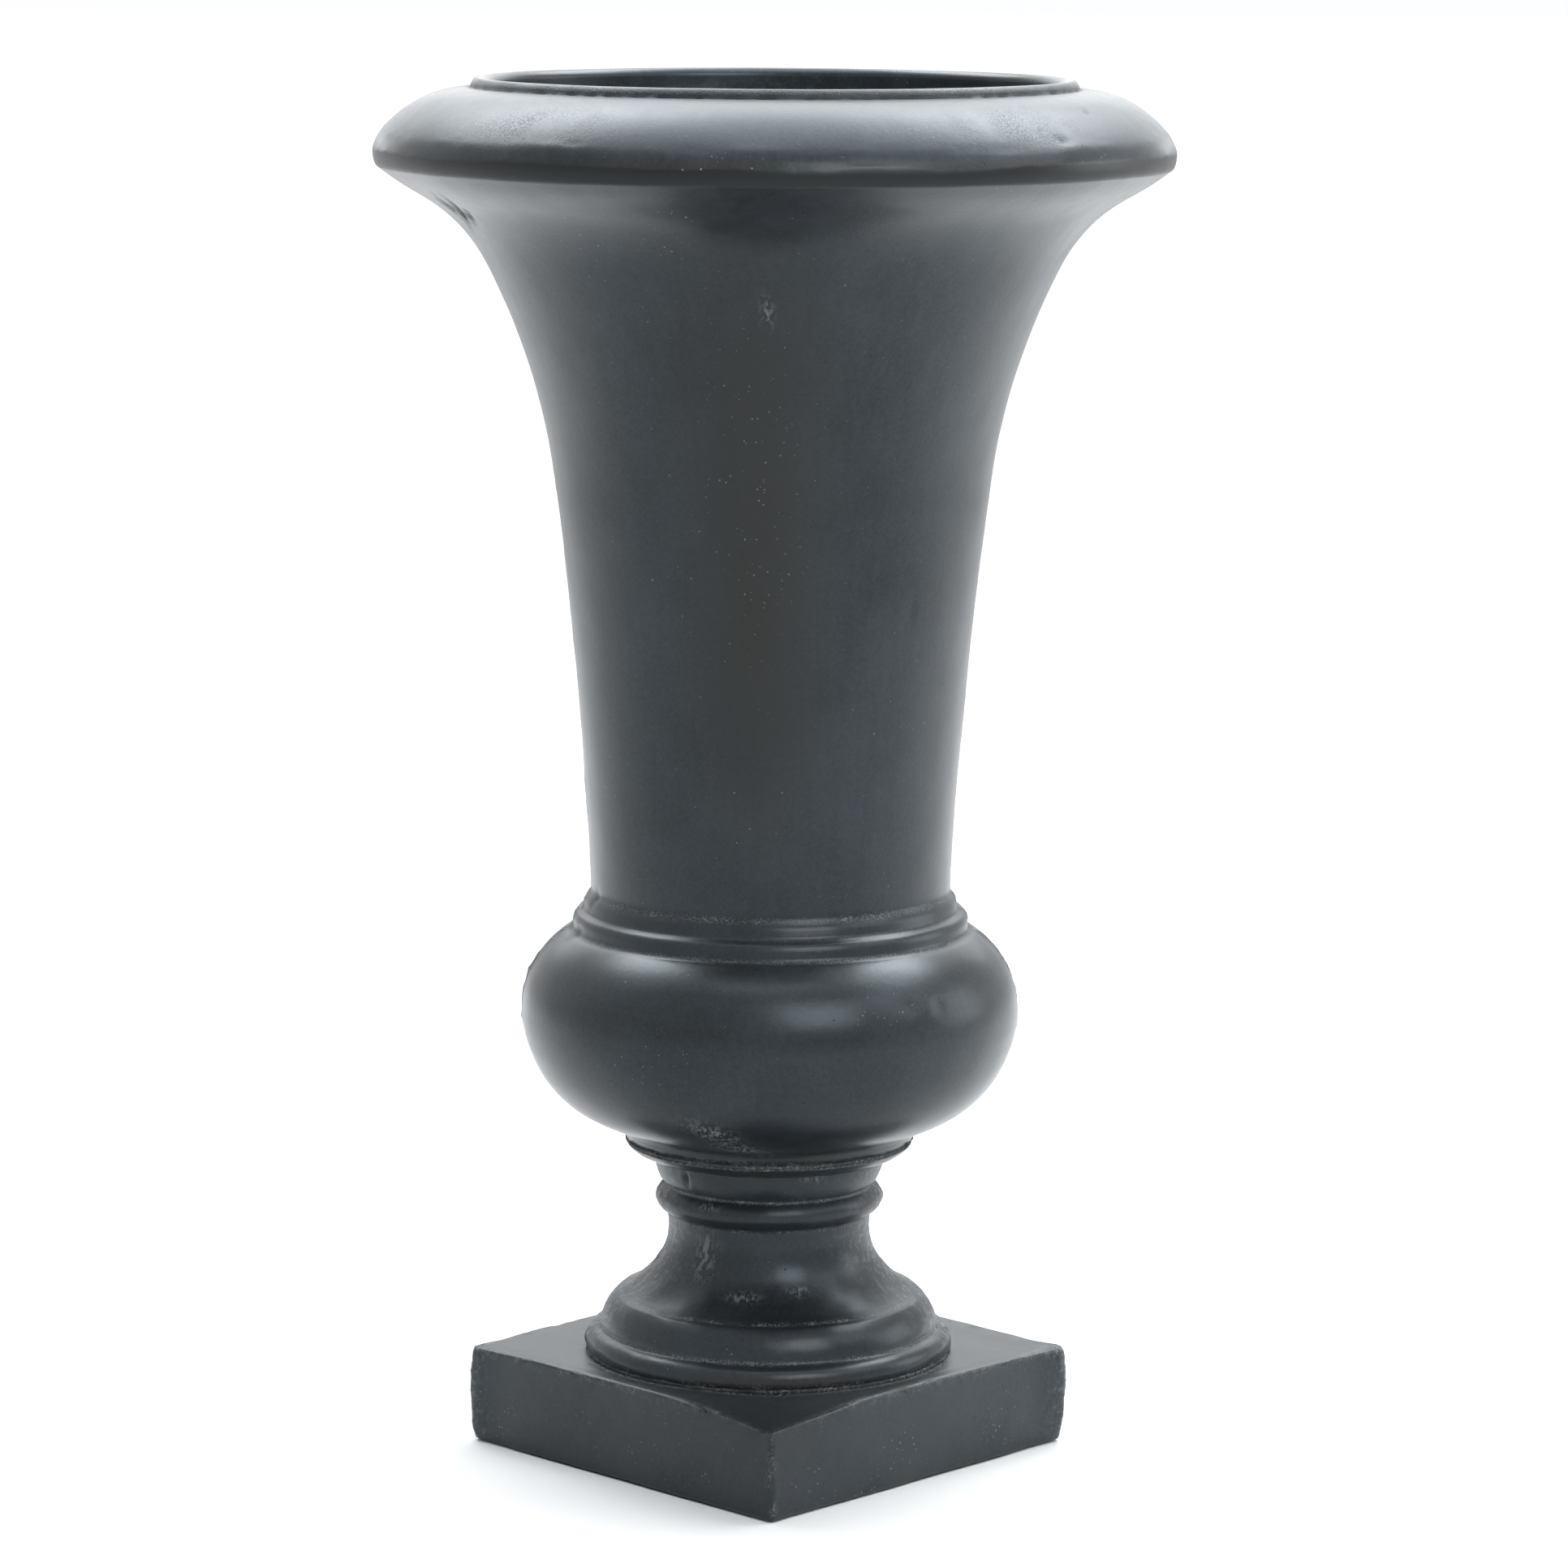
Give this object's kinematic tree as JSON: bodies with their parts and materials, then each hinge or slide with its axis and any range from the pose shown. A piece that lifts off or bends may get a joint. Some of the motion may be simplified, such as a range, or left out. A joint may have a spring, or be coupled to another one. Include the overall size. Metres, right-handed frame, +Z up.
{
  "type": "urn planter",
  "caption": "Tall garden urn planter with a rolled rim, flared body, round belly, turned pedestal and square plinth, clamped by a central tie rod.",
  "frame": {"origin": "centre of the footprint, at floor level under the pads", "axes": "+Z up along the urn's turning axis; the plinth's sides lie along X and Y"},
  "size_m": [0.401, 0.401, 0.7],
  "materials": {
    "graphite_clay": "graphite-grey cast fibre clay, waxed to a satin sheen, with pinholes and pale residue in the grooves",
    "joint_filler": "matt grey cement filler",
    "zinc_steel": "zinc-plated steel",
    "black_rubber": "matt black rubber",
    "dark_plastic": "dark grey moulded plastic"
  },
  "bodies": {
    "root": {"bowl": "graphite_clay", "pedestal": "graphite_clay", "plinth": "graphite_clay", "bowl_bed": "joint_filler", "plinth_bed": "joint_filler", "tie_rod": "zinc_steel", "seal_washer": "black_rubber", "plate_washer": "zinc_steel", "top_nut": "zinc_steel", "jam_nut": "zinc_steel", "anchor_bar": "zinc_steel", "anchor_washer": "zinc_steel", "anchor_nut": "zinc_steel", "drain_sleeve_1": "dark_plastic", "drain_sleeve_2": "dark_plastic", "drain_sleeve_3": "dark_plastic", "foot_pad_1": "black_rubber", "foot_pad_2": "black_rubber", "foot_pad_3": "black_rubber", "foot_pad_4": "black_rubber"}
  },
  "joints": []
}
